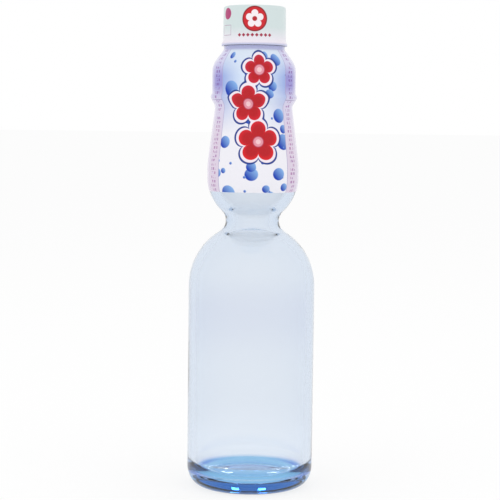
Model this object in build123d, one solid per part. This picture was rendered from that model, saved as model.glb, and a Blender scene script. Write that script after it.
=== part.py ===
from build123d import *
import os
from math import cos, radians, sin, sqrt

# A glass bottle closed from inside by a marble, in millimetres
# The origin is the centre of the base on the plane it stands on, +Z up, and the front faces -Y

# Outer shape of the glass bottle, from the base up
body_radius = 29.0              # straight wall, and the round shoulder above it
shoulder_height = 93.0          # where the straight wall turns into the shoulder
waist_radius = 12.25            # pinched waist between the shoulder and the chamber
waist_hollow = 6.0              # radius of the waist's hollow arc
chamber_radius = 20.8           # round underside and straight wall of the marble chamber
chamber_wall_height = 6.5
chamber_wall_fillet = 30.0
chamber_taper = 25.0            # height in which the chamber narrows to the groove
groove_depth = 1.3              # hollow ring under the bead, below the bulge's radius
groove_flat = 1.4
groove_fillet = 2.5
bead_rise = 3.5
bead_proud = 0.7                # raised ring, above the bulge's radius
bead_flat = 0.8
bead_fillet = 0.5
bead_step = 1.4
bulge_radius = 18.9             # upper bulge under the mouth
bulge_height = 12.7
bulge_fillet = 8.5
mouth_slope = 7.1               # height of the slope from the bulge in to the ledge
ledge_height = 1.5              # plain neck under the collar
ledge_inset = 0.5               # how far the ledge lies inside the collar's side
ledge_fillet = 0.6

# Heel and underside
heel_width = 7.0                # the round heel is a quarter of an ellipse
heel_height = 9.0
standing_ring = 3.0             # width of the flat ring that the bottle stands on
push_up = 2.0                   # height of the hollow underside
stipple_count = 44              # small dimples in the standing ring
stipple_radius = 0.55

# Glass walls
body_wall = 3.5
base_thickness = 5.5
base_corner_fillet = 7.5
chamber_wall = 4.1
chamber_bore_fillet = 20.0
throat_radius = 8.0             # bore of the waist, which the marble can't pass
groove_wall = 3.7
groove_bore_drop = 1.5          # how far the narrow bore starts under the groove
groove_bore_fillet = 3.0
bulge_wall = 4.0
bulge_bore_drop = 3.8           # how far the bore closes in before the bulge does
bulge_bore_fillet = 4.0
mouth_bore_drop = 1.9           # how far the mouth's bore reaches under the ledge
mouth_bore_fillet = 5.0

# The two dents at the back that hold the marble when the bottle is tipped
dent_angle = 38.0
dent_drop = 2.0                 # from the groove down to the dents
dent_radius = 6.5
dent_wall = 4.0
dent_pass = 1.5                 # room between a dent and the marble on its way down

# Marble and gasket
marble_radius = 8.5
marble_clearance = 0.2          # between the marble and the gasket
marble_room = 0.5               # between the marble and the mouth's bore
gasket_bore = 6.3
gasket_height = 3.2
gasket_rim = 1.4                # how far the gasket reaches over the ledge in the mouth
gasket_clearance = 0.1
gasket_fillet = 0.4

# Mouth finish of the glass
finish_wall = 1.8
snap_bead_lift = 1.8            # from the ledge up to the ring that the collar clips over
snap_bead_height = 1.8
snap_bead_proud = 0.6
snap_bead_slope = 0.5
rim_rise = 3.2
rim_fillet = 0.5

# Collar pressed on to the mouth finish
collar_clearance = 0.1
collar_wall = 1.25
collar_lift = 0.2               # gap between the collar and the glass ledge
collar_flange_proud = 0.55
collar_flange_height = 1.1
collar_flange_slope = 0.4
collar_lip_height = 1.3         # lip that clips under the snap bead
collar_plate = 1.9
collar_fillet = 0.4
spout_room = 0.2                # how much wider the spout is than the gasket's bore
spout_rim_width = 1.6
spout_rim_height = 0.6
cap_draft = 0.25                # the plastic mouth narrows this much to its top

# Tear-off guard ring above the collar
seam_gap = 0.15
guard_height = 8.9
guard_wall = 1.6
guard_fillet = 0.8
guard_seam_fillet = 0.2

# Plunger held in the guard ring
plunger_sink = 0.2              # how far the disc lies under the guard ring's top
plunger_disc = 1.8
plunger_disc_gap = 0.3
plunger_disc_fillet = 0.4
plunger_post_gap = 0.6          # between the post and the gasket's bore
plunger_rib = 1.7
plunger_tip = 1.6
plunger_tip_fillet = 0.4
plunger_rest_gap = 0.4          # between the post's tip and the marble
thumb_rim = 3.6                 # width of the disc round its thumb hollow
thumb_hollow_depth = 0.5
bridge_count = 4                # thin tear bridges from the disc to the guard ring
bridge_width = 1.2
bridge_height = 0.6
bridge_root = 0.5
bridge_gap = 0.15

# Shrink film
film_thickness = 0.1
film_fit = 0.05                 # between the film and what it is shrunk on
film_reach = 6.1                # how far the label film reaches down the chamber's underside
film_split_gap = 0.15           # torn perforation between label film and cap film
film_fold = 4.2                 # how far the cap film turns in over the guard ring
film_corner_fillet = 1.0
film_bend_fillet = 0.5

overrun = 1.0

# Radii worked out from the sizes above
stand_radius = body_radius - heel_width
push_up_radius = stand_radius - standing_ring
bead_radius = bulge_radius + bead_proud
groove_radius = bulge_radius - groove_depth
mouth_bore = marble_radius + marble_room
gasket_radius = mouth_bore + gasket_rim
finish_radius = gasket_radius + gasket_clearance + finish_wall
snap_bead_radius = finish_radius + snap_bead_proud
cap_base_radius = snap_bead_radius + collar_clearance + collar_wall
cap_top_radius = cap_base_radius - cap_draft
ledge_radius = cap_base_radius - ledge_inset
collar_flange_radius = cap_base_radius + collar_flange_proud
spout_radius = gasket_bore + spout_room
guard_bore = cap_top_radius - guard_wall
plunger_post_radius = gasket_bore - plunger_post_gap
film_outside = film_fit + film_thickness

# Heights worked out from the sizes above
waist_reach = waist_radius + waist_hollow
shoulder_to_waist = sqrt((body_radius + waist_hollow) ** 2 - waist_reach**2)
waist_to_chamber = sqrt((chamber_radius + waist_hollow) ** 2 - waist_reach**2)
chamber_height = shoulder_height + shoulder_to_waist + waist_to_chamber
chamber_wall_top = chamber_height + chamber_wall_height
groove_low = chamber_wall_top + chamber_taper
groove_high = groove_low + groove_flat
bead_low = groove_high + bead_rise
bead_high = bead_low + bead_flat
bulge_low = bead_high + bead_step
bulge_high = bulge_low + bulge_height
ledge_low = bulge_high + mouth_slope
ledge_top = ledge_low + ledge_height
snap_bead_low = ledge_top + snap_bead_lift
snap_bead_top = snap_bead_low + snap_bead_height
rim_top = snap_bead_top + rim_rise
gasket_ledge = rim_top - gasket_height
collar_bottom = ledge_top + collar_lift
collar_top = rim_top + collar_plate
spout_top = collar_top + spout_rim_height
guard_bottom = collar_top + seam_gap
guard_top = guard_bottom + guard_height
marble_height = gasket_ledge - sqrt((marble_radius + marble_clearance) ** 2 - gasket_bore**2)
disc_top = guard_top - plunger_sink
disc_bottom = disc_top - plunger_disc
post_bottom = marble_height + marble_radius + plunger_rest_gap
dent_height = groove_low - dent_drop
film_bottom = chamber_height - film_reach


def turned(outline):
    """A solid turned about the upright axis from a closed outline of radius and height."""
    return revolve(make_face(Plane.XZ * outline), Axis.Z)


def rounded(*corners):
    """A closed outline from corners given as radius, height and fillet."""
    points = [(corner[0], corner[1]) for corner in corners]
    return FilletPolyline(*points, radius=[corner[2] for corner in corners], close=True)


def side(*corners):
    """An open outline from corners given as radius, height and fillet, its ends without one."""
    points = [(corner[0], corner[1]) for corner in corners]
    return FilletPolyline(*points, radius=[corner[2] for corner in corners[1:-1]])


def hollow_radius(low_radius, high_radius, narrow_radius):
    """Radius of the hollow arc that leaves a given bore between two round shapes."""
    rise = chamber_height - shoulder_height
    lean = (low_radius - high_radius) / rise
    step = (rise**2 + low_radius**2 - high_radius**2) / (rise + rise)
    half = low_radius - narrow_radius - step * lean
    rest = narrow_radius**2 + step**2 - low_radius**2
    return rest / (half + sqrt(half**2 - lean**2 * rest))


def waist(low_radius, high_radius, hollow):
    """Shoulder, hollow waist and the chamber's round underside, as tangent arcs."""
    rise = chamber_height - shoulder_height
    low_reach, high_reach = low_radius + hollow, high_radius + hollow
    step = (rise**2 + low_reach**2 - high_reach**2) / (rise + rise)
    out = sqrt(low_reach**2 - step**2)
    low_share, high_share = low_radius / low_reach, high_radius / high_reach
    low = (out * low_share, shoulder_height + step * low_share)
    high = (out * high_share, chamber_height - (rise - step) * high_share)
    shoulder = RadiusArc((low_radius, shoulder_height), low, -low_radius)
    middle = RadiusArc(low, high, hollow)
    underside = RadiusArc(high, (high_radius, chamber_height), -high_radius)
    return shoulder + middle + underside


def chamber_side(offset):
    """Corners of the chamber, groove, bead and bulge, moved out by an offset."""
    return [
        (chamber_radius + offset, chamber_wall_top, chamber_wall_fillet),
        (groove_radius + offset, groove_low, groove_fillet),
        (groove_radius + offset, groove_high, groove_fillet),
        (bead_radius + offset, bead_low, bead_fillet),
        (bead_radius + offset, bead_high, bead_fillet),
        (bulge_radius + offset, bulge_low, bead_fillet),
        (bulge_radius + offset, bulge_high, bulge_fillet),
        (ledge_radius + offset, ledge_low, ledge_fillet),
    ]


def bottle_outside():
    """The bottle's outer shape as one filled solid."""
    hollow_arc = (push_up_radius**2 + push_up**2) / (push_up + push_up)
    underside = RadiusArc((0, push_up), (push_up_radius, 0), hollow_arc)
    flat = Line((push_up_radius, 0), (stand_radius, 0))
    heel = EllipticalCenterArc((stand_radius, heel_height), heel_width, heel_height, -90, arc_size=90)
    wall = Line((body_radius, heel_height), (body_radius, shoulder_height))
    upper = side(
        (chamber_radius, chamber_height, 0),
        *chamber_side(0),
        (ledge_radius, ledge_top, 0),
        (finish_radius, ledge_top, 0),
        (finish_radius, snap_bead_low, 0),
        (snap_bead_radius, snap_bead_low + snap_bead_slope, 0),
        (snap_bead_radius, snap_bead_top - snap_bead_slope, 0),
        (finish_radius, snap_bead_top, 0),
        (finish_radius, rim_top, rim_fillet),
        (0, rim_top, 0),
    )
    axis_line = Line((0, rim_top), (0, push_up))
    neck = waist(body_radius, chamber_radius, waist_hollow)
    return turned(underside + flat + heel + wall + neck + upper + axis_line)


def bottle_inside():
    """The space inside the bottle, with the gasket's seat, as one solid."""
    inner_radius = body_radius - body_wall
    chamber_bore = chamber_radius - chamber_wall
    groove_bore = groove_radius - groove_wall
    bulge_bore = bulge_radius - bulge_wall
    seat_radius = gasket_radius + gasket_clearance
    above = rim_top + overrun
    floor = side(
        (0, base_thickness, 0),
        (inner_radius, base_thickness, base_corner_fillet),
        (inner_radius, shoulder_height, 0),
    )
    throat_hollow = hollow_radius(inner_radius, chamber_bore, throat_radius)
    upper = side(
        (chamber_bore, chamber_height, 0),
        (chamber_bore, chamber_wall_top, chamber_bore_fillet),
        (groove_bore, groove_low - groove_bore_drop, groove_bore_fillet),
        (groove_bore, groove_high, groove_bore_fillet),
        (bulge_bore, bead_low, groove_bore_fillet),
        (bulge_bore, bulge_high - bulge_bore_drop, bulge_bore_fillet),
        (mouth_bore, ledge_low - mouth_bore_drop, mouth_bore_fillet),
        (mouth_bore, gasket_ledge, 0),
        (seat_radius, gasket_ledge, 0),
        (seat_radius, above, 0),
        (0, above, 0),
    )
    axis_line = Line((0, above), (0, base_thickness))
    throat = waist(inner_radius, chamber_bore, throat_hollow)
    return turned(floor + throat + upper + axis_line)


def dent_spheres(radius):
    """One round shape at each of the two dents."""
    reach = marble_radius + dent_pass + dent_wall + dent_radius
    out, aside = reach * cos(radians(dent_angle)), reach * sin(radians(dent_angle))
    return [Pos(x, out, dent_height) * Sphere(radius) for x in (-aside, aside)]


def stipples():
    """Round dimples in the flat ring that the bottle stands on."""
    ring = PolarLocations(push_up_radius + standing_ring / 2, stipple_count)
    return [place * Sphere(stipple_radius) for place in ring]


def glass_bottle():
    """The moulded bottle: outer shape, less the inside, with dents, hollow base and dimples."""
    inside = bottle_inside()
    for bump in dent_spheres(dent_radius + dent_wall):
        inside -= bump
    glass = bottle_outside() - inside
    for dent in dent_spheres(dent_radius):
        glass -= dent
    return glass - stipples()


def marble():
    """The ball, pressed up to the gasket from inside."""
    return Pos(0, 0, marble_height) * Sphere(marble_radius)


def gasket():
    """Rubber ring on the ledge in the mouth, which the marble seals against."""
    return turned(rounded(
        (gasket_bore, gasket_ledge, gasket_fillet),
        (gasket_radius, gasket_ledge, 0),
        (gasket_radius, rim_top, 0),
        (gasket_bore, rim_top, gasket_fillet),
    ))


def cap_side(height):
    """Outer radius of the plastic mouth at a height."""
    share = (height - collar_bottom) / (guard_top - collar_bottom)
    return cap_base_radius + (cap_top_radius - cap_base_radius) * share


def mouth_collar():
    """Collar with the drinking hole, clipped over the snap bead."""
    flange_top = collar_bottom + collar_flange_height
    slope_top = flange_top + collar_flange_slope
    bore = finish_radius + collar_clearance
    bead_room = snap_bead_radius + collar_clearance
    lip_top = collar_bottom + collar_lip_height
    room_top = snap_bead_top + collar_clearance
    spout_rim = spout_radius + spout_rim_width
    return turned(rounded(
        (bore, collar_bottom, 0),
        (collar_flange_radius, collar_bottom, collar_fillet),
        (collar_flange_radius, flange_top, collar_fillet),
        (cap_side(slope_top), slope_top, 0),
        (cap_side(collar_top), collar_top, collar_fillet),
        (spout_rim, collar_top, 0),
        (spout_rim, spout_top, spout_rim_height / 2),
        (spout_radius, spout_top, spout_rim_height / 2),
        (spout_radius, rim_top, 0),
        (bore, rim_top, 0),
        (bore, room_top, 0),
        (bead_room, room_top - snap_bead_slope, 0),
        (bead_room, lip_top, 0),
        (bore, lip_top, 0),
    ))


def guard_ring():
    """Tear-off ring that stands on the collar round the plunger's disc."""
    return turned(rounded(
        (guard_bore, guard_bottom, 0),
        (cap_side(guard_bottom), guard_bottom, guard_seam_fillet),
        (cap_side(guard_top), guard_top, guard_fillet),
        (guard_bore, guard_top, guard_seam_fillet),
    ))


def plunger_bridges(disc_radius):
    """Thin bridges that tie the disc to the guard ring until it is torn out."""
    reach = guard_bore - bridge_gap
    length = reach - disc_radius + bridge_root
    ring = PolarLocations(reach - length / 2, bridge_count)
    block = Box(length, bridge_width, bridge_height, align=(Align.CENTER, Align.CENTER, Align.MIN))
    return [Pos(0, 0, disc_bottom) * place * block for place in ring]


def plunger():
    """Thumb disc on a cross-ribbed post with a round tip, which pushes the marble in."""
    disc_radius = guard_bore - plunger_disc_gap
    thumb_radius = disc_radius - thumb_rim
    disc = turned(rounded(
        (0, disc_bottom, 0),
        (disc_radius, disc_bottom, 0),
        (disc_radius, disc_top, plunger_disc_fillet),
        (thumb_radius, disc_top, 0),
        (thumb_radius - thumb_hollow_depth, disc_top - thumb_hollow_depth, 0),
        (0, disc_top - thumb_hollow_depth, 0),
    ))
    tip_top = post_bottom + plunger_tip
    tip = turned(rounded(
        (0, post_bottom, 0),
        (plunger_post_radius, post_bottom, plunger_tip_fillet),
        (plunger_post_radius, tip_top, 0),
        (0, tip_top, 0),
    ))
    rib_height = disc_bottom - tip_top
    rib = Box(plunger_post_radius * 2, plunger_rib, rib_height,
              align=(Align.CENTER, Align.CENTER, Align.MIN))
    round_post = Cylinder(plunger_post_radius, rib_height,
                          align=(Align.CENTER, Align.CENTER, Align.MIN))
    ribs = Pos(0, 0, tip_top) * ((rib + Rot(0, 0, 90) * rib) & round_post)
    return disc + ribs + tip + plunger_bridges(disc_radius)


def label_side(offset):
    """The label film's side at an offset from the glass, from its lower edge to the ledge."""
    radius = chamber_radius + offset
    low = (sqrt(radius**2 - film_reach**2), film_bottom)
    underside = RadiusArc(low, (radius, chamber_height), -radius)
    upper = side(
        (radius, chamber_height, 0),
        *chamber_side(offset),
        (ledge_radius + offset, ledge_top, 0),
    )
    return low, underside + upper


def label_film():
    """Printed film shrunk on to the glass from the waist to the ledge."""
    inner_low, inner = label_side(film_fit)
    outer_low, outer = label_side(film_outside)
    lower_edge = Line(inner_low, outer_low)
    upper_edge = Line((ledge_radius + film_fit, ledge_top), (ledge_radius + film_outside, ledge_top))
    return turned(inner + lower_edge + outer + upper_edge)


def cap_film():
    """Film over the plastic mouth, turned in over the guard ring, that is torn off first."""
    bottom = ledge_top + film_split_gap
    flange_bend = collar_bottom + collar_flange_height + collar_flange_slope
    outer_bend = flange_bend + film_outside
    fold = cap_top_radius - film_fold
    inner_top = guard_top + film_fit
    outer_top = guard_top + film_outside
    inner_bend_fillet = film_bend_fillet - film_thickness
    flange_top = flange_bend - collar_flange_slope
    return turned(rounded(
        (collar_flange_radius + film_fit, bottom, 0),
        (collar_flange_radius + film_outside, bottom, 0),
        (collar_flange_radius + film_outside, flange_top + film_outside, film_bend_fillet),
        (cap_side(outer_bend) + film_outside, outer_bend, film_bend_fillet),
        (cap_side(outer_top) + film_outside, outer_top, film_corner_fillet),
        (fold, outer_top, 0),
        (fold, inner_top, 0),
        (cap_side(inner_top) + film_fit, inner_top, film_corner_fillet - film_thickness),
        (cap_side(flange_bend) + film_fit, flange_bend + film_fit, inner_bend_fillet),
        (collar_flange_radius + film_fit, flange_top + film_fit, inner_bend_fillet),
    ))


os.makedirs("parts", exist_ok=True)
pieces = (glass_bottle, marble, gasket, mouth_collar, guard_ring, plunger, label_film, cap_film)
for piece in pieces:
    export_step(piece(), f"parts/{piece.__name__}.step")
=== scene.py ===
import math
import bmesh
import bpy
from mathutils import Matrix, Vector


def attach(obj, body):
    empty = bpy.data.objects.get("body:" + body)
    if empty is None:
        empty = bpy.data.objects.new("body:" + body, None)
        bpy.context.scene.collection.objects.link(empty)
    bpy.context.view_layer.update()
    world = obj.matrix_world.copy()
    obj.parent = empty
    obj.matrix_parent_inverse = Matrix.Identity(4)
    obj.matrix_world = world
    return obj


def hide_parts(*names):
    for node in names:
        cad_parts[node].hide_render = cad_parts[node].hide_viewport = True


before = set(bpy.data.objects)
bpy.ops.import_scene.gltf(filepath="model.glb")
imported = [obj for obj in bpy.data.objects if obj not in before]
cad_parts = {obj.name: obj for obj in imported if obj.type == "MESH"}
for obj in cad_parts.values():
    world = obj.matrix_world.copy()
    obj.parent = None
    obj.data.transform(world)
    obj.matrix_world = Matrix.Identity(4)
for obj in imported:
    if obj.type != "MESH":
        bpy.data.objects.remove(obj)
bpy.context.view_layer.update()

MM = 0.001                      # the sizes below are in millimetres

# Camera, matched to the photograph's eye height, distance and slight lean in degrees
CAMERA_DISTANCE = 695.0
CAMERA_HEIGHT = 165.1
CAMERA_TILT = 4.6
CAMERA_ROLL = 0.68
CAMERA_YAW = 0.075
SENSOR = 36.0
LENS = 108.8

# Outside of the glass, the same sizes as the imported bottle
BODY_RADIUS = 29.0
SHOULDER_HEIGHT = 93.0
WAIST_RADIUS = 12.25
WAIST_HOLLOW = 6.0
CHAMBER_RADIUS = 20.8
CHAMBER_WALL_HEIGHT = 6.5
CHAMBER_WALL_FILLET = 30.0
CHAMBER_TAPER = 25.0
GROOVE_RADIUS = 17.6
GROOVE_FLAT = 1.4
GROOVE_FILLET = 2.5
BEAD_RADIUS = 19.6
BEAD_RISE = 3.5
BEAD_FLAT = 0.8
BEAD_STEP = 1.4
BEAD_FILLET = 0.5
BULGE_RADIUS = 18.9
BULGE_HEIGHT = 12.7
BULGE_FILLET = 8.5
MOUTH_SLOPE = 7.1
LEDGE_RADIUS = 13.75
LEDGE_HEIGHT = 1.5
LEDGE_FILLET = 0.6
HEEL_WIDTH = 7.0
HEEL_HEIGHT = 9.0
STANDING_RING = 3.0
PUSH_UP = 2.0

# Inside of the glass
BODY_WALL = 3.5
BASE_THICKNESS = 5.5
BASE_CORNER = 7.5
CHAMBER_WALL = 4.1
CHAMBER_BORE_FILLET = 20.0
THROAT_RADIUS = 8.0
GROOVE_WALL = 3.7
GROOVE_BORE_DROP = 1.5
GROOVE_BORE_FILLET = 3.0
BULGE_WALL = 4.0
BULGE_BORE_DROP = 3.8
BULGE_BORE_FILLET = 4.0
MOUTH_BORE = 9.0
MOUTH_BORE_DROP = 1.9
MOUTH_BORE_FILLET = 5.0

# Mouth finish of the glass
FINISH_RADIUS = 12.3
SNAP_BEAD_RADIUS = 12.9
SNAP_BEAD_LIFT = 1.8
SNAP_BEAD_HEIGHT = 1.8
SNAP_BEAD_SLOPE = 0.5
RIM_RISE = 3.2
RIM_FILLET = 0.5
GASKET_RADIUS = 10.4
GASKET_HEIGHT = 3.2
GASKET_CLEARANCE = 0.1

# Dimples in the standing ring, and the two dents at the back of the chamber
STIPPLES = 44
STIPPLE_RADIUS = 0.55
STIPPLE_BAND = 0.8              # half the width of the ring's band that holds a dimple
STIPPLE_SEGMENTS = 12
DENT_ANGLE = math.radians(38)
DENT_REACH = 20.5
DENT_DROP = 2.0
DENT_RADIUS = 6.5
DENT_WALL = 4.0
DENT_FACET = 0.8                # longest facet up the glass where the dents are

# Marble, plastic mouth and films
MARBLE_RADIUS = 8.5
MARBLE_DROP = 6.0               # from the gasket's ledge down to the marble's middle
CAP_BASE_RADIUS = 14.25
CAP_TOP_RADIUS = 14.0
COLLAR_LIFT = 0.2
COLLAR_PLATE = 1.9
SEAM_GAP = 0.15
GUARD_HEIGHT = 8.9
FLANGE_RADIUS = 14.8
FLANGE_HEIGHT = 1.1
FLANGE_SLOPE = 0.4
FILM_FIT = 0.05
FILM_OUTSIDE = 0.15
FILM_REACH = 6.1
FILM_SPLIT = 0.15
FILM_FOLD = 4.2
FILM_CORNER = 1.0
FILM_BEND = 0.5

STEPS_PER_STIPPLE = 5
TURN_STEPS = STIPPLES * STEPS_PER_STIPPLE
ARC_STEP = math.radians(4)      # facets along a rounded corner
SHARP_ANGLE = math.radians(40)  # edges sharper than this stay sharp to the eye
WELD = 1e-6                     # metres within which doubled vertices merge

# Glass by height: blue through the floor, and deepest in the floor's rounded corner
FLOOR_FADE = (5.0, 7.0)
CORNER_START = (6.5, 7.5)
CORNER_FADE = (7.5, 10.0)

# Painted shade on the wall: heights between which it turns to each shade, palest just above the floor
PAINTED_WALL_SHADES = ((24.0, 33.0, "#FCFCFC"), (58.0, 76.0, "#F8F8FA"), (84.0, 98.0, "#FCFCFC"))

# Spacing of each surface's pattern; the dust and the mould's grain are coarser than real, to show
GLASS_WAVES = (16.67, 16.67, 55.56)
MARBLE_SWIRL = 5.556
RUBBER_DUST = 1.1
FLOW_MARKS = 6.25
MOULD_GRAIN = 0.7
FILM_RIPPLE = (8.33, 25.0)

# Label print, across from the panel's middle and up from the film's lower edge
LABEL_RADIUS = 19.5             # middling radius at which the label is drawn
PRINT_EDGE = 0.25               # softness of a printed edge
BLOSSOMS = (((2.4, 54.8), 6.8), ((-2.6, 39.6), 8.2), ((2.2, 22.8), 9.2))    # middle and reach
PETALS = 5
PETAL_LENGTH = 0.42             # of the blossom's reach
PETAL_ROUNDNESS = 0.6           # lower is rounder at the tip
PETAL_FADE = (-2.2, -0.3)       # where the red turns brighter, measured from the petals' edge
BLOSSOM_WHITE = 1.25            # how far the white and navy outlines reach past the petals
BLOSSOM_NAVY = 2.15
BLOSSOM_RINGS = ((2.5, "#B8465E"), (2.15, "#E597A6"), (1.1, "#F4C8CD"))
RED_FADE = (18.0, 60.0)         # heights between which the reds turn cooler

# Soda bubbles in three sizes: shift of the pattern, spacing, largest radius and share printed
BUBBLES = (
    ((18.0, 5.0), 12.5, 3.7, 0.72),
    ((57.0, 33.0), 8.5, 2.3, 0.42),
    ((71.0, 13.0), 6.5, 0.9, 0.3),
)
BUBBLE_LIGHT = (0.75, 0.65)     # towards a bubble's lit side

# Ground and side panels of the label
FOOT_FADE = (26.0, 48.0)        # heights between which the foot's pale ground ends
CROWN_FADE = (52.0, 62.0)       # heights between which the ground turns paler again
PANEL_FADE = (6.0, 16.0)
PANEL_EDGE = 16.3               # from the panel's middle out to the side panels
SIDE_RULE = 24.0
DASH_COLUMN = (18.3, 22.1)
DASH_WIDTH = 2.1
DASH_HEIGHT = 1.9
DASH_GAP = 0.42
DASH_PATCH = 2.0                # spacing of the gaps in a column of dashes
BEAD_SHADOW_LINE = 41.5                   # height of the painted shadow line under the bead, across the side panels
HALF_BEAD_SHADOW = 0.2
HALF_RULE = 0.14
DEEP_LILAC = 50.0               # height at which the side panels are deepest in colour
LILAC_FADE = (2.0, 8.5)         # from that height up and down
TOP_SHADE_BAND = (63.6, 64.6)         # heights between which the painted shade under the cap's flange starts

# Cap print, across and up in the same way
CAP_FADE = (1.0, 8.0)
# painted shade on the cap film's lower edge, over the flange
CAP_FLANGE_SHADE = (0.3, 1.3)
SEAL_MIDDLE = (0, 11.5)
SEAL_BLOSSOM = 4.2
SEAL_RADIUS = 5.15
SEAL_OUTLINE = 5.7
SEAL_HEART = 1.1
DISC_MIDDLE = (-14.6, 14.0)
DISC_RADIUS = 2.6
BOX_MIDDLE = (-15.0, 6.6)
BOX_REACH = (3.0, 2.2)
HALF_BOX_LINE = 0.13
LOZENGE_HEIGHT = 4.3
LOZENGE_SPACING = 2.0
LOZENGE_REACH = 0.85
LOZENGE_ROW = 8.0               # half the length of the row

# White room: share of the floor that shows as plain white, and the world's light on dull surfaces
FLOOR_REACH = 60000.0
FLOOR_GLOW = 0.8
ROOM_LIGHT = 0.87

# Lamps, with their place, size and watts
SOFTBOXES = (
    ("left softbox", (-750, -600, 750), 900, 1.6),
    ("right softbox", (800, -500, 600), 900, 1.1),
    ("overhead softbox", (100, 300, 1300), 1000, 0.8),
)
SOFTBOX_AIM = Vector((0, 0, 100))
# Directions from the floor's middle to the back, in degrees to the right and up
STRIP_LAMPS = (
    ("left strip lamp", -7.2, 24),
    ("low left strip lamp", -7.2, 10),
    ("right strip lamp", 7.8, 24),
    ("low right strip lamp", 7.8, 10),
)
STRIP_DISTANCE = 300
STRIP_SIZE = (22, 11)
STRIP_WATTS = 0.0003
STRIP_SPREAD = 16               # degrees
STRIP_AIM = Vector((0, 0, BASE_THICKNESS))

# Heights and radii worked out from the sizes above
WAIST_REACH = WAIST_RADIUS + WAIST_HOLLOW
CHAMBER_HEIGHT = (SHOULDER_HEIGHT + math.sqrt((BODY_RADIUS + WAIST_HOLLOW) ** 2 - WAIST_REACH**2)
                  + math.sqrt((CHAMBER_RADIUS + WAIST_HOLLOW) ** 2 - WAIST_REACH**2))
CHAMBER_WALL_TOP = CHAMBER_HEIGHT + CHAMBER_WALL_HEIGHT
GROOVE_LOW = CHAMBER_WALL_TOP + CHAMBER_TAPER
GROOVE_HIGH = GROOVE_LOW + GROOVE_FLAT
BEAD_LOW = GROOVE_HIGH + BEAD_RISE
BEAD_HIGH = BEAD_LOW + BEAD_FLAT
BULGE_LOW = BEAD_HIGH + BEAD_STEP
BULGE_HIGH = BULGE_LOW + BULGE_HEIGHT
LEDGE_LOW = BULGE_HIGH + MOUTH_SLOPE
LEDGE_TOP = LEDGE_LOW + LEDGE_HEIGHT
SNAP_BEAD_LOW = LEDGE_TOP + SNAP_BEAD_LIFT
SNAP_BEAD_TOP = SNAP_BEAD_LOW + SNAP_BEAD_HEIGHT
RIM_TOP = SNAP_BEAD_TOP + RIM_RISE
GASKET_LEDGE = RIM_TOP - GASKET_HEIGHT
DENT_HEIGHT = GROOVE_LOW - DENT_DROP
FILM_BOTTOM = CHAMBER_HEIGHT - FILM_REACH
LABEL_HEIGHT = LEDGE_TOP - FILM_BOTTOM
COLLAR_BOTTOM = LEDGE_TOP + COLLAR_LIFT
FLANGE_TOP = COLLAR_BOTTOM + FLANGE_HEIGHT
FLANGE_BEND = FLANGE_TOP + FLANGE_SLOPE
GUARD_TOP = RIM_TOP + COLLAR_PLATE + SEAM_GAP + GUARD_HEIGHT
CAP_FILM_BOTTOM = LEDGE_TOP + FILM_SPLIT
CAP_FILM_TOP = GUARD_TOP + FILM_OUTSIDE
INNER_RADIUS = BODY_RADIUS - BODY_WALL
CHAMBER_BORE = CHAMBER_RADIUS - CHAMBER_WALL
GROOVE_BORE = GROOVE_RADIUS - GROOVE_WALL
BULGE_BORE = BULGE_RADIUS - BULGE_WALL
STAND_RADIUS = BODY_RADIUS - HEEL_WIDTH
PUSH_UP_RADIUS = STAND_RADIUS - STANDING_RING
STIPPLE_RING = PUSH_UP_RADIUS + STANDING_RING / 2


def chamber_side(offset):
    """Corners of chamber, groove, bead and bulge as radius, height and fillet."""
    corners = [
        (CHAMBER_RADIUS, CHAMBER_WALL_TOP, CHAMBER_WALL_FILLET),
        (GROOVE_RADIUS, GROOVE_LOW, GROOVE_FILLET),
        (GROOVE_RADIUS, GROOVE_HIGH, GROOVE_FILLET),
        (BEAD_RADIUS, BEAD_LOW, BEAD_FILLET),
        (BEAD_RADIUS, BEAD_HIGH, BEAD_FILLET),
        (BULGE_RADIUS, BULGE_LOW, BEAD_FILLET),
        (BULGE_RADIUS, BULGE_HIGH, BULGE_FILLET),
        (LEDGE_RADIUS, LEDGE_LOW, LEDGE_FILLET),
    ]
    return [(radius + offset, height, fillet) for radius, height, fillet in corners]


def arc(centre, radii, start, end):
    """Points of an arc or elliptical arc between two angles, ends included."""
    steps = max(2, math.ceil(abs(end - start) / ARC_STEP))
    angles = [start + (end - start) * i / steps for i in range(steps + 1)]
    return [(centre[0] + radii[0] * math.cos(angle), centre[1] + radii[1] * math.sin(angle))
            for angle in angles]


def rounded(corners):
    """Points of an open outline, its inner corners rounded by their fillets."""
    points = [corners[0][:2]]
    for before, here, after in zip(corners, corners[1:], corners[2:]):
        corner, fillet = Vector(here[:2]), here[2]
        if not fillet:
            points.append(tuple(corner))
            continue
        back = (Vector(before[:2]) - corner).normalized()
        ahead = (Vector(after[:2]) - corner).normalized()
        half = back.angle(ahead) / 2
        reach = fillet / math.tan(half)
        centre = corner + (back + ahead).normalized() * fillet / math.sin(half)
        first, last = corner + back * reach - centre, corner + ahead * reach - centre
        start = math.atan2(first.y, first.x)
        bend = math.remainder(math.atan2(last.y, last.x) - start, math.tau)
        points += arc(centre, (fillet, fillet), start, start + bend)
    return points + [corners[-1][:2]]


def hollow_radius(low_radius, high_radius, narrow_radius):
    """Radius of the hollow arc that leaves a given bore between two round shapes."""
    rise = CHAMBER_HEIGHT - SHOULDER_HEIGHT
    lean = (low_radius - high_radius) / rise
    step = (rise**2 + low_radius**2 - high_radius**2) / (2 * rise)
    half = low_radius - narrow_radius - step * lean
    rest = narrow_radius**2 + step**2 - low_radius**2
    return rest / (half + math.sqrt(half**2 - lean**2 * rest))


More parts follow.
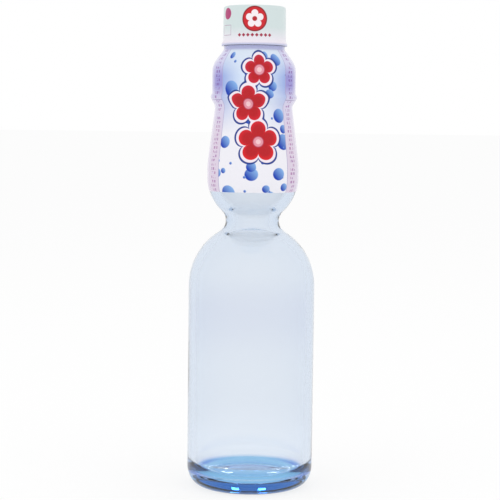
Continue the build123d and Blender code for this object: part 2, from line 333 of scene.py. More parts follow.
def waist(low_radius, high_radius, hollow):
    """Points of shoulder, waist and the chamber's underside, as tangent arcs."""
    rise = CHAMBER_HEIGHT - SHOULDER_HEIGHT
    low_reach, high_reach = low_radius + hollow, high_radius + hollow
    step = (rise**2 + low_reach**2 - high_reach**2) / (2 * rise)
    out = math.sqrt(low_reach**2 - step**2)
    low_angle = math.atan2(step, out)
    high_angle = math.atan2(rise - step, out)
    shoulder = arc((0, SHOULDER_HEIGHT), (low_radius, low_radius), 0, low_angle)
    middle = arc((out, SHOULDER_HEIGHT + step), (hollow, hollow),
                 math.pi + low_angle, math.pi - high_angle)
    underside = arc((0, CHAMBER_HEIGHT), (high_radius, high_radius), -high_angle, 0)
    return shoulder[:-1] + middle + underside[1:]


def divided(points, low, high, longest):
    """The outline with its long stretches between two heights divided."""
    result = [points[0]]
    for start, end in zip(points, points[1:]):
        parts = 1
        if min(start[1], end[1]) < high and max(start[1], end[1]) > low:
            parts = max(1, math.ceil(math.dist(start, end) / longest))
        for share in (i / parts for i in range(1, parts + 1)):
            result.append(tuple(a + (b - a) * share for a, b in zip(start, end)))
    return result


def turn(mesh, outline, closed=False):
    """Turns an outline of radius and height about the upright axis."""
    verts = [mesh.verts.new((radius * MM, 0, height * MM)) for radius, height in outline]
    edges = [mesh.edges.new(pair) for pair in zip(verts, verts[1:])]
    if closed:
        edges.append(mesh.edges.new((verts[-1], verts[0])))
    bmesh.ops.spin(mesh, geom=verts + edges, axis=(0, 0, 1), cent=(0, 0, 0),
                   angle=math.tau, steps=TURN_STEPS, use_merge=True)


def around(radius, angle):
    """A place in metres on the plane that the bottle stands on."""
    return Vector((radius * MM * math.cos(angle), radius * MM * math.sin(angle), 0))


def stippled_band(mesh):
    """The flat ring's band of dimples: one sector filled, then copied round."""
    sector = bmesh.new()
    step = math.tau / TURN_STEPS
    angles = [step * i for i in range(STEPS_PER_STIPPLE + 1)]
    ring = [around(STIPPLE_RING - STIPPLE_BAND, angle) for angle in angles]
    ring += [around(STIPPLE_RING + STIPPLE_BAND, angle) for angle in reversed(angles)]
    corners = [sector.verts.new(place) for place in ring]
    border = [sector.edges.new(pair) for pair in zip(corners, corners[1:] + corners[:1])]
    middle = Matrix.Translation(around(STIPPLE_RING, step * STEPS_PER_STIPPLE / 2))
    bowl = bmesh.ops.create_circle(sector, segments=STIPPLE_SEGMENTS, radius=STIPPLE_RADIUS * MM,
                                   matrix=middle)["verts"]
    loop = [edge for edge in sector.edges if edge.verts[0] in bowl]
    bmesh.ops.triangle_fill(sector, edges=border + loop, use_beauty=True)
    for lift in (math.radians(30), math.radians(60)):
        grown = bmesh.ops.extrude_edge_only(sector, edges=loop)["geom"]
        verts = [part for part in grown if isinstance(part, bmesh.types.BMVert)]
        loop = [part for part in grown if isinstance(part, bmesh.types.BMEdge)
                and all(vert in verts for vert in part.verts)]
        centre = sum((vert.co for vert in verts), Vector()) / len(verts)
        raised = Vector((centre.x, centre.y, STIPPLE_RADIUS * MM * math.sin(lift)))
        shrink = STIPPLE_RADIUS * MM * math.cos(lift) / (verts[0].co - centre).length
        for vert in verts:
            vert.co = raised + (vert.co - centre) * shrink
    bmesh.ops.contextual_create(sector, geom=loop)
    data = bpy.data.meshes.new("sector")
    sector.to_mesh(data)
    sector.free()
    for i in range(STIPPLES):
        start = len(mesh.verts)
        mesh.from_mesh(data)
        mesh.verts.ensure_lookup_table()
        bmesh.ops.rotate(mesh, verts=mesh.verts[start:], cent=(0, 0, 0),
                         matrix=Matrix.Rotation(i * step * STEPS_PER_STIPPLE, 3, "Z"))
    bpy.data.meshes.remove(data)


def press_dents(mesh):
    """Moves the chamber's walls in to the two round dents at the back."""
    between_walls = (CHAMBER_BORE + GROOVE_RADIUS) / 2
    for vert in mesh.verts:
        x, y, z = vert.co / MM
        if abs(z - DENT_HEIGHT) > DENT_RADIUS + DENT_WALL or y < 0:
            continue
        radius = math.hypot(x, y)
        ball = DENT_RADIUS if radius > between_walls else DENT_RADIUS + DENT_WALL
        for side in (-1, 1):
            centre = Vector((side * math.sin(DENT_ANGLE), math.cos(DENT_ANGLE))) * DENT_REACH
            along = (x * centre.x + y * centre.y) / radius
            room = along**2 - centre.length_squared - (z - DENT_HEIGHT) ** 2 + ball**2
            if room > 0 and along - math.sqrt(room) < radius:
                share = (along - math.sqrt(room)) / radius
                vert.co = Vector((x * share, y * share, z)) * MM


def finish(mesh, name):
    """Makes a smooth-shaded piece of the mesh and puts it in the scene."""
    bmesh.ops.remove_doubles(mesh, verts=mesh.verts, dist=WELD)
    bmesh.ops.recalc_face_normals(mesh, faces=mesh.faces)
    for face in mesh.faces:
        face.smooth = True
    data = bpy.data.meshes.new(name)
    mesh.to_mesh(data)
    mesh.free()
    data.set_sharp_from_angle(angle=SHARP_ANGLE)
    piece = bpy.data.objects.new(name, data)
    bpy.context.scene.collection.objects.link(piece)
    return piece


def glass_mesh():
    """The bottle's glass: underside, dimpled ring, outside, mouth and inside."""
    hollow = (PUSH_UP_RADIUS**2 + PUSH_UP**2) / (2 * PUSH_UP)
    edge = math.asin(PUSH_UP_RADIUS / hollow)
    underside = arc((0, PUSH_UP - hollow), (hollow, hollow), math.pi / 2, math.pi / 2 - edge)
    heel = arc((STAND_RADIUS, HEEL_HEIGHT), (HEEL_WIDTH, HEEL_HEIGHT), -math.pi / 2, 0)
    outside = waist(BODY_RADIUS, CHAMBER_RADIUS, WAIST_HOLLOW)
    seat = GASKET_RADIUS + GASKET_CLEARANCE
    upper = rounded([
        (CHAMBER_RADIUS, CHAMBER_HEIGHT),
        *chamber_side(0),
        (LEDGE_RADIUS, LEDGE_TOP, 0),
        (FINISH_RADIUS, LEDGE_TOP, 0),
        (FINISH_RADIUS, SNAP_BEAD_LOW, 0),
        (SNAP_BEAD_RADIUS, SNAP_BEAD_LOW + SNAP_BEAD_SLOPE, 0),
        (SNAP_BEAD_RADIUS, SNAP_BEAD_TOP - SNAP_BEAD_SLOPE, 0),
        (FINISH_RADIUS, SNAP_BEAD_TOP, 0),
        (FINISH_RADIUS, RIM_TOP, RIM_FILLET),
        (seat, RIM_TOP, 0),
        (seat, GASKET_LEDGE, 0),
        (MOUTH_BORE, GASKET_LEDGE, 0),
        (MOUTH_BORE, LEDGE_LOW - MOUTH_BORE_DROP, MOUTH_BORE_FILLET),
        (BULGE_BORE, BULGE_HIGH - BULGE_BORE_DROP, BULGE_BORE_FILLET),
        (BULGE_BORE, BEAD_LOW, GROOVE_BORE_FILLET),
        (GROOVE_BORE, GROOVE_HIGH, GROOVE_BORE_FILLET),
        (GROOVE_BORE, GROOVE_LOW - GROOVE_BORE_DROP, GROOVE_BORE_FILLET),
        (CHAMBER_BORE, CHAMBER_WALL_TOP, CHAMBER_BORE_FILLET),
        (CHAMBER_BORE, CHAMBER_HEIGHT),
    ])
    reach = DENT_RADIUS + DENT_WALL
    upper = divided(upper, DENT_HEIGHT - reach, DENT_HEIGHT + reach, DENT_FACET)
    throat_hollow = hollow_radius(INNER_RADIUS, CHAMBER_BORE, THROAT_RADIUS)
    inside = waist(INNER_RADIUS, CHAMBER_BORE, throat_hollow)[::-1]
    floor = rounded([
        (INNER_RADIUS, SHOULDER_HEIGHT),
        (INNER_RADIUS, BASE_THICKNESS, BASE_CORNER),
        (0, BASE_THICKNESS),
    ])
    wall = [(STIPPLE_RING + STIPPLE_BAND, 0)] + heel + outside[:-1] + upper[:-1] + inside[:-1] + floor
    mesh = bmesh.new()
    turn(mesh, underside + [(STIPPLE_RING - STIPPLE_BAND, 0)])
    turn(mesh, wall)
    stippled_band(mesh)
    bmesh.ops.remove_doubles(mesh, verts=mesh.verts, dist=WELD)
    press_dents(mesh)
    return mesh


def marble_mesh():
    """The glass ball that seals the mouth from inside."""
    mesh = bmesh.new()
    place = Matrix.Translation((0, 0, (GASKET_LEDGE - MARBLE_DROP) * MM))
    bmesh.ops.create_uvsphere(mesh, u_segments=96, v_segments=48, radius=MARBLE_RADIUS * MM,
                              matrix=place)
    return mesh


def wrap_print(mesh, low, high):
    """Print map of a film: across from the seam at the left side, and up."""
    layer = mesh.loops.layers.uv.new("print")
    for face in mesh.faces:
        middle = face.calc_center_median()
        across = (math.atan2(middle.x, -middle.y) / math.tau + 0.25) % 1
        for loop in face.loops:
            x, y, z = loop.vert.co / MM
            turned = (math.atan2(x, -y) / math.tau + 0.25) % 1
            loop[layer].uv = (turned + round(across - turned), (z - low) / (high - low))


def film_mesh(inner, outer):
    """A film between its two outlines, turned to a closed sleeve."""
    mesh = bmesh.new()
    turn(mesh, inner + outer[::-1], closed=True)
    bmesh.ops.recalc_face_normals(mesh, faces=mesh.faces)
    return mesh


def label_outline(offset):
    """One side of the label film, at an offset from the glass."""
    radius = CHAMBER_RADIUS + offset
    below = arc((0, CHAMBER_HEIGHT), (radius, radius), -math.asin(FILM_REACH / radius), 0)
    above = rounded([
        (radius, CHAMBER_HEIGHT),
        *chamber_side(offset),
        (LEDGE_RADIUS + offset, LEDGE_TOP),
    ])
    return below[:-1] + above


def label_film_mesh():
    """Shrink film on the glass, from the waist up to the ledge."""
    mesh = film_mesh(label_outline(FILM_FIT), label_outline(FILM_OUTSIDE))
    wrap_print(mesh, FILM_BOTTOM, LEDGE_TOP)
    return mesh


def cap_side(height):
    """Outer radius of the plastic mouth at a height."""
    share = (height - COLLAR_BOTTOM) / (GUARD_TOP - COLLAR_BOTTOM)
    return CAP_BASE_RADIUS + (CAP_TOP_RADIUS - CAP_BASE_RADIUS) * share


def cap_outline(offset):
    """One side of the cap film, at an offset from the plastic mouth."""
    top = GUARD_TOP + offset
    inset = FILM_OUTSIDE - offset
    bend = FILM_BEND - inset
    return rounded([
        (FLANGE_RADIUS + offset, CAP_FILM_BOTTOM, 0),
        (FLANGE_RADIUS + offset, FLANGE_TOP + offset, bend),
        (cap_side(FLANGE_BEND + offset) + offset, FLANGE_BEND + offset, bend),
        (cap_side(top) + offset, top, FILM_CORNER - inset),
        (CAP_TOP_RADIUS - FILM_FOLD, top, 0),
    ])


def cap_film_mesh():
    """Shrink film over the plastic mouth, turned in over its top."""
    mesh = film_mesh(cap_outline(FILM_FIT), cap_outline(FILM_OUTSIDE))
    wrap_print(mesh, CAP_FILM_BOTTOM, CAP_FILM_TOP)
    return mesh


def linear(code):
    """Linear colour of an sRGB hex value."""
    channels = [int(code[i:i + 2], 16) / 255 for i in (1, 3, 5)]
    return [c / 12.92 if c <= 0.04045 else ((c + 0.055) / 1.055) ** 2.4 for c in channels] + [1]


def new_material(name):
    """An empty node material, and its tree."""
    material = bpy.data.materials.new(name)
    material.use_nodes = True
    material.node_tree.nodes.clear()
    return material, material.node_tree


def add(tree, kind, *values, sockets=None, **settings):
    """Adds a node with its settings, and fills or links its sockets by order or name."""
    node = tree.nodes.new(kind)
    for key, value in settings.items():
        setattr(node, key, value)
    for key, value in [*enumerate(values), *(sockets or {}).items()]:
        if isinstance(value, bpy.types.Node):
            value = value.outputs[0]
        if isinstance(value, bpy.types.NodeSocket):
            tree.links.new(value, node.inputs[key])
        elif value is not None:
            node.inputs[key].default_value = value
    return node


def bottle_glass():
    """Soda-lime glass, moulded: clear and faintly blue, deep blue through its thick base."""
    material, tree = new_material("pale blue soda-lime glass, moulded")
    place = add(tree, "ShaderNodeTexCoord").outputs["Object"]
    height = add(tree, "ShaderNodeSeparateXYZ", place).outputs["Z"]
    # painted shade: the wall turns lighter and darker by height
    wall = linear("#FFFFFF")
    for low, high, colour in PAINTED_WALL_SHADES:
        above = add(tree, "ShaderNodeMapRange", height, low * MM, high * MM, 0.0, 1.0)
        wall = add(tree, "ShaderNodeMixRGB", above, wall, linear(colour))
    floor_low, floor_high = FLOOR_FADE
    floor = add(tree, "ShaderNodeMapRange", height, floor_low * MM, floor_high * MM, 1.0, 0.0)
    tint = add(tree, "ShaderNodeMixRGB", floor, wall, linear("#60B6E9"))

    # the floor's rounded corner, where the glass is seen at a slant
    slant = add(tree, "ShaderNodeLayerWeight", 0.5).outputs["Facing"]
    slant = add(tree, "ShaderNodeMapRange", slant, 0.15, 0.5, 0.0, 1.0)
    corner = add(tree, "ShaderNodeMapRange", height, CORNER_START[0] * MM, CORNER_START[1] * MM, 0.0, 1.0)
    fade = add(tree, "ShaderNodeMapRange", height, CORNER_FADE[0] * MM, CORNER_FADE[1] * MM, 1.0, 0.0)
    corner = add(tree, "ShaderNodeMath", corner, fade, operation="MULTIPLY")
    corner = add(tree, "ShaderNodeMath", corner, slant, operation="MULTIPLY")
    tint = add(tree, "ShaderNodeMixRGB", corner, tint, linear("#3A70E2"))

    # slow waves that the mould leaves in the wall, longer upwards than round
    spacing = [1 / (reach * MM) for reach in GLASS_WAVES]
    waves = add(tree, "ShaderNodeMapping", place, sockets={"Scale": spacing})
    waves = add(tree, "ShaderNodeTexNoise", waves, sockets={"Scale": 1.0, "Detail": 1.0})
    bump = add(tree, "ShaderNodeBump", sockets={"Strength": 0.25, "Distance": 0.4 * MM, "Height": waves})
    shader = add(tree, "ShaderNodeBsdfPrincipled", sockets={
        "Base Color": tint, "Roughness": 0.0, "IOR": 1.52, "Transmission Weight": 1.0, "Normal": bump})
    depth = add(tree, "ShaderNodeVolumeAbsorption", (0.15, 0.42, 0.75, 1), 42.0)
    add(tree, "ShaderNodeOutputMaterial", shader, depth)
    return material


def marble_glass():
    """Clear pressed glass, polished: green-blue in its depth, with a faint swirl of seed."""
    material, tree = new_material("clear soda-lime glass ball, polished")
    place = add(tree, "ShaderNodeTexCoord").outputs["Object"]
    swirl = add(tree, "ShaderNodeTexNoise", place, sockets={
        "Scale": 1 / (MARBLE_SWIRL * MM), "Detail": 2.0, "Distortion": 1.5})
    tint = add(tree, "ShaderNodeMixRGB", swirl, linear("#FFFFFF"), linear("#DDF3F2"))
    shader = add(tree, "ShaderNodeBsdfPrincipled", tint, sockets={
        "Roughness": 0.0, "IOR": 1.52, "Transmission Weight": 1.0})
    depth = add(tree, "ShaderNodeVolumeAbsorption", (0.35, 0.75, 0.78, 1), 30.0)
    add(tree, "ShaderNodeOutputMaterial", shader, depth)
    return material


def gasket_rubber():
    """Moulded rubber, black: a soft dull sheen with dusty grey on its skin."""
    material, tree = new_material("black moulded rubber")
    place = add(tree, "ShaderNodeTexCoord").outputs["Object"]
    dust = add(tree, "ShaderNodeTexNoise", place, sockets={"Scale": 1 / (RUBBER_DUST * MM), "Detail": 4.0})
    colour = add(tree, "ShaderNodeMixRGB", dust, linear("#141416"), linear("#2A2A2D"))
    skin = add(tree, "ShaderNodeMapRange", dust, 0.3, 0.7, 0.45, 0.65)
    bump = add(tree, "ShaderNodeBump", sockets={"Strength": 0.3, "Distance": 0.05 * MM, "Height": dust})
    shader = add(tree, "ShaderNodeBsdfPrincipled", colour, sockets={"Roughness": skin, "Normal": bump})
    add(tree, "ShaderNodeOutputMaterial", shader)
    return material


def mouth_plastic(name, colour, shade, gloss):
    """Polypropylene, injection moulded: milky white with a satin skin and slight flow marks."""
    material, tree = new_material(name)
    place = add(tree, "ShaderNodeTexCoord").outputs["Object"]
    flow = add(tree, "ShaderNodeTexNoise", place, sockets={
        "Scale": 1 / (FLOW_MARKS * MM), "Detail": 3.0, "Distortion": 0.6})
    milk = add(tree, "ShaderNodeMixRGB", flow, linear(colour), linear(shade))
    satin = add(tree, "ShaderNodeMapRange", flow, 0.3, 0.7, gloss - 0.05, gloss + 0.05)
    grain = add(tree, "ShaderNodeTexNoise", place, sockets={"Scale": 1 / (MOULD_GRAIN * MM), "Detail": 2.0})
    bump = add(tree, "ShaderNodeBump", sockets={"Strength": 0.15, "Distance": 0.04 * MM, "Height": grain})
    shader = add(tree, "ShaderNodeBsdfPrincipled", milk, sockets={
        "Roughness": satin, "IOR": 1.49, "Normal": bump})
    add(tree, "ShaderNodeOutputMaterial", shader)
    return material


def print_place(tree, radius, height):
    """Place on a film's print in millimetres, across and up, the back panel like the front."""
    place = add(tree, "ShaderNodeSeparateXYZ", add(tree, "ShaderNodeUVMap", uv_map="print"))
    twice = add(tree, "ShaderNodeMath", place.outputs["X"], 2.0, operation="MULTIPLY")
    panel = add(tree, "ShaderNodeMath", twice, operation="FRACT")
    half = math.pi * radius / 2
    across = add(tree, "ShaderNodeMapRange", panel, 0.0, 1.0, -half, half)
    up = add(tree, "ShaderNodeMath", place.outputs["Y"], height, operation="MULTIPLY")
    return add(tree, "ShaderNodeCombineXYZ", across, up), across, up


def inked(tree, drawn, distance, layers):
    """Prints layers over a colour, each where the distance is less than the layer's own."""
    for limit, colour in layers:
        within = add(tree, "ShaderNodeMapRange", distance,
                     limit - PRINT_EDGE / 2, limit + PRINT_EDGE / 2, 1.0, 0.0)
        drawn = add(tree, "ShaderNodeMixRGB", within, drawn, colour)
    return drawn


def blossom(tree, place, centre, radius):
    """Distance outside a five-petalled blossom's edge, and distance from its middle."""
    offset = add(tree, "ShaderNodeVectorMath", place, (*centre, 0), operation="SUBTRACT")
    sides = add(tree, "ShaderNodeSeparateXYZ", offset)
    reach = add(tree, "ShaderNodeVectorMath", offset, operation="LENGTH").outputs["Value"]
    angle = add(tree, "ShaderNodeMath", sides.outputs["X"], sides.outputs["Y"], operation="ARCTAN2")
    lobe = add(tree, "ShaderNodeMath", angle, PETALS / 2, operation="MULTIPLY")
    lobe = add(tree, "ShaderNodeMath", lobe, operation="COSINE")
    lobe = add(tree, "ShaderNodeMath", lobe, operation="ABSOLUTE")
    lobe = add(tree, "ShaderNodeMath", lobe, PETAL_ROUNDNESS, operation="POWER")
    edge = add(tree, "ShaderNodeMath", lobe, radius * PETAL_LENGTH, radius * (1 - PETAL_LENGTH),
               operation="MULTIPLY_ADD")
    return add(tree, "ShaderNodeMath", reach, edge, operation="SUBTRACT"), reach


def bubbles(tree, place, drawn, shift, spacing, largest, share):
    """Prints round bubbles over a colour, lit at the upper right and deep blue at the lower left."""
    place = add(tree, "ShaderNodeVectorMath", place, (*shift, 0), operation="ADD")
    spot = add(tree, "ShaderNodeTexVoronoi", place, voronoi_dimensions="2D",
               sockets={"Scale": 1 / spacing, "Randomness": 0.62})
    chance = add(tree, "ShaderNodeSeparateColor", spot.outputs["Color"])
    size = add(tree, "ShaderNodeMapRange", chance.outputs["Red"], 0.0, 1.0, largest / 2, largest)
    away = add(tree, "ShaderNodeMath", spot.outputs["Distance"], spacing, operation="MULTIPLY")
    depth = add(tree, "ShaderNodeMath", size, away, operation="SUBTRACT")
    inside = add(tree, "ShaderNodeMapRange", depth, 0.0, PRINT_EDGE, 0.0, 1.0)
    here = add(tree, "ShaderNodeMath", chance.outputs["Green"], share, operation="LESS_THAN")
    mask = add(tree, "ShaderNodeMath", inside, here, operation="MULTIPLY")

    # from the bubble's middle towards its light
    offset = add(tree, "ShaderNodeVectorMath", place, spot.outputs["Position"], operation="SUBTRACT")
    lean = add(tree, "ShaderNodeVectorMath", offset, (*BUBBLE_LIGHT, 0), operation="DOT_PRODUCT")
    lean = add(tree, "ShaderNodeMath", lean.outputs["Value"], size, operation="DIVIDE")
    lit = add(tree, "ShaderNodeMapRange", lean, -0.7, 0.95, 0.0, 1.0)
    blue = add(tree, "ShaderNodeMixRGB", lit, linear("#023AB0"), linear("#88B4EA"))
    return add(tree, "ShaderNodeMixRGB", mask, drawn, blue)


def label_ground(tree, wide, up, rise):
    """Ground of the label: white at the foot, pale blue higher up, deeper beside the middle."""
    beside = add(tree, "ShaderNodeMapRange", wide, *PANEL_FADE, 0.0, 1.0)
    high = add(tree, "ShaderNodeMixRGB", beside, linear("#D3E2F6"), linear("#9BAFE3"))
    crown = add(tree, "ShaderNodeMapRange", up, *CROWN_FADE, 0.0, 1.0)
    high = add(tree, "ShaderNodeMixRGB", crown, high, linear("#D9E4F3"))
    return add(tree, "ShaderNodeMixRGB", rise, linear("#EEEDF4"), high)


def side_panels(tree, drawn, place, wide, up, rise):
    """Lilac side panels between thin rules, with a painted shadow line under the bead and a column of fine
    pink dashes.
    """
    lilac = add(tree, "ShaderNodeMixRGB", rise, linear("#DCCFE1"), linear("#D0D0EC"))

    # dashes in a column, missing here and there
    dashes = add(tree, "ShaderNodeTexBrick", place, offset=0.37, squash=0.7, squash_frequency=3, sockets={
        "Color1": linear("#D6A0C4"), "Color2": linear("#BC8CC4"), "Mortar": (1, 1, 1, 1), "Scale": 1.0,
        "Mortar Size": DASH_GAP, "Mortar Smooth": 0.3, "Bias": 0.2,
        "Brick Width": DASH_WIDTH, "Row Height": DASH_HEIGHT})
    pink = add(tree, "ShaderNodeMixRGB", 1.0, lilac, dashes, blend_type="MULTIPLY")
    near, far = DASH_COLUMN
    start = add(tree, "ShaderNodeMapRange", wide, near - PRINT_EDGE / 2, near + PRINT_EDGE / 2, 0.0, 1.0)
    end = add(tree, "ShaderNodeMapRange", wide, far - PRINT_EDGE / 2, far + PRINT_EDGE / 2, 1.0, 0.0)
    column = add(tree, "ShaderNodeMath", start, end, operation="MULTIPLY")
    patches = add(tree, "ShaderNodeTexNoise", place, noise_dimensions="2D",
                  sockets={"Scale": 1 / DASH_PATCH, "Detail": 1.0})
    patches = add(tree, "ShaderNodeMapRange", patches, 0.38, 0.46, 0.0, 0.85)
    column = add(tree, "ShaderNodeMath", column, patches, operation="MULTIPLY")
    side = add(tree, "ShaderNodeMixRGB", column, lilac, pink)

    # deepest in colour at one height, with a painted shadow line across lower down, under the bead
    away = add(tree, "ShaderNodeMath", up, DEEP_LILAC, operation="SUBTRACT")
    away = add(tree, "ShaderNodeMath", away, operation="ABSOLUTE")
    deep = add(tree, "ShaderNodeMapRange", away, *LILAC_FADE, 1.0, 0.0)
    violet = add(tree, "ShaderNodeMixRGB", 1.0, side, linear("#BDB6E5"), blend_type="MULTIPLY")
    side = add(tree, "ShaderNodeMixRGB", deep, side, violet)
    bead_shadow = add(tree, "ShaderNodeMath", up, BEAD_SHADOW_LINE, HALF_BEAD_SHADOW, operation="COMPARE")
    side = add(tree, "ShaderNodeMixRGB", bead_shadow, side, linear("#A79DC2"))

    # the panel in the middle keeps its own print
    outside = add(tree, "ShaderNodeMapRange", wide,
                  PANEL_EDGE - PRINT_EDGE / 2, PANEL_EDGE + PRINT_EDGE / 2, 0.0, 1.0)
    drawn = add(tree, "ShaderNodeMixRGB", outside, drawn, side)
    for distance in (PANEL_EDGE, SIDE_RULE):
        rule = add(tree, "ShaderNodeMath", wide, distance, HALF_RULE, operation="COMPARE")
        drawn = add(tree, "ShaderNodeMixRGB", rule, drawn, linear("#A9A0C6"))
    return drawn


def red_blossoms(tree, drawn, place, up):
    """Blossoms that run together, red with a white and a navy outline and pale middles."""
    shapes = [blossom(tree, place, centre, radius) for centre, radius in BLOSSOMS]
    edge, middle = shapes[0]
    for other_edge, other_middle in shapes[1:]:
        edge = add(tree, "ShaderNodeMath", edge, other_edge, 0.8, operation="SMOOTH_MIN")
        middle = add(tree, "ShaderNodeMath", middle, other_middle, operation="MINIMUM")
    high = add(tree, "ShaderNodeMapRange", up, *RED_FADE, 0.0, 1.0)
    red = add(tree, "ShaderNodeMixRGB", high, linear("#DC141E"), linear("#C41C3A"))
    inner = add(tree, "ShaderNodeMapRange", edge, *PETAL_FADE, 1.0, 0.0)
    red = add(tree, "ShaderNodeMixRGB", inner, red, linear("#BA101C"))
    drawn = inked(tree, drawn, edge, (
        (BLOSSOM_NAVY, linear("#1D3A8C")), (BLOSSOM_WHITE, linear("#F4E9F2")), (0.0, red)))
    rings = [(radius, linear(colour)) for radius, colour in BLOSSOM_RINGS]
    return inked(tree, drawn, middle, rings)


def label_print():
    """Polyester shrink film, gravure printed: clean colours under a wet-looking gloss."""
    material, tree = new_material("printed polyester shrink film, label")
    place, across, up = print_place(tree, LABEL_RADIUS, LABEL_HEIGHT)
    wide = add(tree, "ShaderNodeMath", across, operation="ABSOLUTE")
    rise = add(tree, "ShaderNodeMapRange", up, *FOOT_FADE, 0.0, 1.0)
    drawn = label_ground(tree, wide, up, rise)
    for layer in BUBBLES:
        drawn = bubbles(tree, place, drawn, *layer)
    drawn = side_panels(tree, drawn, place, wide, up, rise)
    drawn = red_blossoms(tree, drawn, place, up)
    # painted shade under the cap's flange, a purple-blue band at the film's top
    flange_shade = add(tree, "ShaderNodeMapRange", up, *TOP_SHADE_BAND, 0.0, 1.0)
    drawn = add(tree, "ShaderNodeMixRGB", flange_shade, drawn, linear("#B2B5DA"))

    # painted sheen: paler where the film turns away from the eye
    slant = add(tree, "ShaderNodeLayerWeight", 0.5).outputs["Facing"]
    slant = add(tree, "ShaderNodeMapRange", slant, 0.6, 0.95, 0.0, 0.7)
    drawn = add(tree, "ShaderNodeMixRGB", slant, drawn, linear("#EFECF8"))

    # slow ripples left by the shrinking, longer upwards than round
    spacing = [1 / reach for reach in FILM_RIPPLE]
    ripple = add(tree, "ShaderNodeVectorMath", place, (*spacing, 0), operation="MULTIPLY")
    ripple = add(tree, "ShaderNodeTexNoise", ripple, noise_dimensions="2D",
                 sockets={"Scale": 1.0, "Detail": 2.0})
    bump = add(tree, "ShaderNodeBump", sockets={"Strength": 0.3, "Distance": 0.3 * MM, "Height": ripple})
    shader = add(tree, "ShaderNodeBsdfPrincipled", drawn, sockets={
        "Roughness": 0.26, "IOR": 1.57, "Specular IOR Level": 0.25, "Normal": bump})
    add(tree, "ShaderNodeOutputMaterial", shader)
    return material


def cap_seals(tree, drawn, place):
    """Round red seal with a white blossom, and a small disc over a thin box at its left."""
    edge, middle = blossom(tree, place, SEAL_MIDDLE, SEAL_BLOSSOM)
    drawn = inked(tree, drawn, middle, (
        (SEAL_OUTLINE, linear("#8A141B")), (SEAL_RADIUS, linear("#CC1F29"))))
    drawn = inked(tree, drawn, edge, [(-PRINT_EDGE / 2, linear("#F6EDF0"))])
    drawn = inked(tree, drawn, middle, [(SEAL_HEART, linear("#B51E28"))])
    disc = add(tree, "ShaderNodeVectorMath", place, (*DISC_MIDDLE, 0), operation="DISTANCE")
    drawn = inked(tree, drawn, disc.outputs["Value"], [(DISC_RADIUS, linear("#B03A72"))])
    offset = add(tree, "ShaderNodeVectorMath", place, (*BOX_MIDDLE, 0), operation="SUBTRACT")
    offset = add(tree, "ShaderNodeVectorMath", offset, operation="ABSOLUTE")
    offset = add(tree, "ShaderNodeVectorMath", offset, (*BOX_REACH, 0), operation="SUBTRACT")
    sides = add(tree, "ShaderNodeSeparateXYZ", offset)
    box = add(tree, "ShaderNodeMath", sides.outputs["X"], sides.outputs["Y"], operation="MAXIMUM")
    line = add(tree, "ShaderNodeMath", box, 0.0, HALF_BOX_LINE, operation="COMPARE")
    return add(tree, "ShaderNodeMixRGB", line, drawn, linear("#B99CB4"))


def lozenge_row(tree, drawn, across, up):
    """Row of small lozenges under the seal."""
    run = add(tree, "ShaderNodeMath", across, LOZENGE_SPACING, operation="PINGPONG")
    run = add(tree, "ShaderNodeMath", run, LOZENGE_SPACING / 2, operation="SUBTRACT")
    run = add(tree, "ShaderNodeMath", run, operation="ABSOLUTE")
    level = add(tree, "ShaderNodeMath", up, LOZENGE_HEIGHT, operation="SUBTRACT")
    level = add(tree, "ShaderNodeMath", level, operation="ABSOLUTE")
    reach = add(tree, "ShaderNodeMath", run, level, operation="ADD")
    within = add(tree, "ShaderNodeMapRange", reach,
                 LOZENGE_REACH - PRINT_EDGE / 2, LOZENGE_REACH + PRINT_EDGE / 2, 1.0, 0.0)
    wide = add(tree, "ShaderNodeMath", across, operation="ABSOLUTE")
    row = add(tree, "ShaderNodeMath", wide, LOZENGE_ROW, operation="LESS_THAN")
    mask = add(tree, "ShaderNodeMath", within, row, operation="MULTIPLY")
    return add(tree, "ShaderNodeMixRGB", mask, drawn, linear("#A5324A"))


def cap_print():
    """Polyester shrink film, gravure printed over the white mouth: clean colours, softly glossy."""
    material, tree = new_material("printed polyester shrink film, cap")
    place, across, up = print_place(tree, CAP_BASE_RADIUS, CAP_FILM_TOP - CAP_FILM_BOTTOM)
    rise = add(tree, "ShaderNodeMapRange", up, *CAP_FADE, 0.0, 1.0)
    drawn = add(tree, "ShaderNodeMixRGB", rise, linear("#F0E9F3"), linear("#D2DFDF"))
    # painted shade along the flange at the film's lower edge
    flange_shade = add(tree, "ShaderNodeMapRange", up, *CAP_FLANGE_SHADE, 1.0, 0.0)
    drawn = add(tree, "ShaderNodeMixRGB", flange_shade, drawn, linear("#BFC3DF"))
    drawn = cap_seals(tree, drawn, place)
    drawn = lozenge_row(tree, drawn, across, up)
    shader = add(tree, "ShaderNodeBsdfPrincipled", drawn, sockets={
        "Roughness": 0.3, "IOR": 1.57, "Specular IOR Level": 0.25})
    add(tree, "ShaderNodeOutputMaterial", shader)
    return material


def looking_rays(tree):
    """Above nought for rays from the eye, straight, mirrored or through glass."""
    rays = add(tree, "ShaderNodeLightPath").outputs
    straight = add(tree, "ShaderNodeMath", rays["Is Camera Ray"], rays["Is Glossy Ray"], operation="ADD")
    return add(tree, "ShaderNodeMath", straight, rays["Is Transmission Ray"], operation="ADD")


def sweep_paper():
    """White paper sweep, which keeps a fifth of the bottle's shadow."""
    material, tree = new_material("white paper sweep")
    seen = add(tree, "ShaderNodeMath", looking_rays(tree), FLOOR_GLOW, operation="MULTIPLY", use_clamp=True)
    paper = add(tree, "ShaderNodeBsdfDiffuse", (1, 1, 1, 1))
    white = add(tree, "ShaderNodeEmission", (1, 1, 1, 1), 1.0)
    add(tree, "ShaderNodeOutputMaterial", add(tree, "ShaderNodeMixShader", seen, paper, white))
    return material


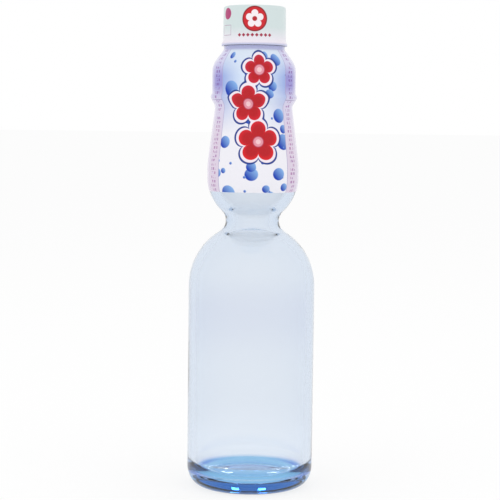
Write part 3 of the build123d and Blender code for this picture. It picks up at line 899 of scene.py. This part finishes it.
def white_room():
    """World of plain white, a little dimmer where it lights a dull surface."""
    world = bpy.data.worlds.new("studio")
    world.use_nodes = True
    tree = world.node_tree
    tree.nodes.clear()
    light = add(tree, "ShaderNodeMapRange", looking_rays(tree), 0.0, 1.0, ROOM_LIGHT, 1.0)
    add(tree, "ShaderNodeOutputWorld", add(tree, "ShaderNodeBackground", (1, 1, 1, 1), light))
    return world


def lamp(name, place, size, watts, aim, spread=180):
    """A rectangular lamp aimed at a point, its beam spread over some degrees."""
    data = bpy.data.lights.new(name, "AREA")
    data.shape = "RECTANGLE"
    data.size, data.size_y = [side * MM for side in size]
    data.energy = watts
    data.spread = math.radians(spread)
    box = bpy.data.objects.new(name, data)
    bpy.context.scene.collection.objects.link(box)
    box.location = place * MM
    box.rotation_euler = (aim - place).to_track_quat("-Z", "Y").to_euler()
    box.visible_camera = False
    return box


def give(piece, material):
    """Gives a piece its one material."""
    piece.data.materials.clear()
    piece.data.materials.append(material)


# Pieces made here: name, mesh, material, body, node that it stands for and slot
made = (
    ("bottle_glass", glass_mesh, bottle_glass, "bottle", "glass_bottle", "bottle_glass"),
    ("marble_ball", marble_mesh, marble_glass, "marble", "marble", "marble_glass"),
    ("label_shrink_film", label_film_mesh, label_print, "bottle", "label_film", "label_film"),
    ("cap_shrink_film", cap_film_mesh, cap_print, "film", "cap_film", "cap_film"),
)
for name, shape, material, body, node, slot in made:
    piece = finish(shape(), name)
    give(piece, material())
    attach(piece, body)
    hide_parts(node)

# Pieces that keep the frame's mesh
give(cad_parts["gasket"], gasket_rubber())
for node, name, colour, shade, gloss in (
    ("mouth_collar", "white moulded polypropylene, collar", "#EEF0F2", "#E4E7EB", 0.32),
    ("guard_ring", "white moulded polypropylene, guard ring", "#F0F1F2", "#E6E9EC", 0.35),
    ("plunger", "white moulded polypropylene, plunger", "#E8EEF3", "#DDE6EE", 0.3),
):
    give(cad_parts[node], mouth_plastic(name, colour, shade, gloss))

floor_mesh = bmesh.new()
bmesh.ops.create_grid(floor_mesh, x_segments=1, y_segments=1, size=FLOOR_REACH * MM)
floor = finish(floor_mesh, "floor")
give(floor, sweep_paper())
bpy.context.scene.world = white_room()

# Broad softboxes light the films; the glass shows the white room instead of them
for name, place, side, watts in SOFTBOXES:
    box = lamp(name, Vector(place), (side, side), watts, SOFTBOX_AIM)
    box.visible_glossy = box.visible_transmission = False

# Narrow strip lamps behind the bottle put the glints on its floor and heel
for name, side, rise in STRIP_LAMPS:
    lean = Matrix.Rotation(math.radians(-side), 3, "Z") @ Matrix.Rotation(math.radians(rise), 3, "X")
    place = STRIP_AIM + lean @ Vector((0, STRIP_DISTANCE, 0))
    lamp(name, place, STRIP_SIZE, STRIP_WATTS, STRIP_AIM, spread=STRIP_SPREAD)

# Camera
cam_data = bpy.data.cameras.new("camera")
cam = bpy.data.objects.new("camera", cam_data)
bpy.context.scene.collection.objects.link(cam)
cam_data.sensor_width = SENSOR
cam_data.lens = LENS
cam.location = Vector((0, -CAMERA_DISTANCE, CAMERA_HEIGHT)) * MM
look = (Matrix.Rotation(math.radians(CAMERA_YAW), 4, "Z")
        @ Matrix.Rotation(math.radians(90 - CAMERA_TILT), 4, "X")
        @ Matrix.Rotation(math.radians(CAMERA_ROLL), 4, "Z"))
cam.rotation_euler = look.to_euler()
bpy.context.scene.camera = cam
bpy.context.scene.view_settings.view_transform = "Standard"
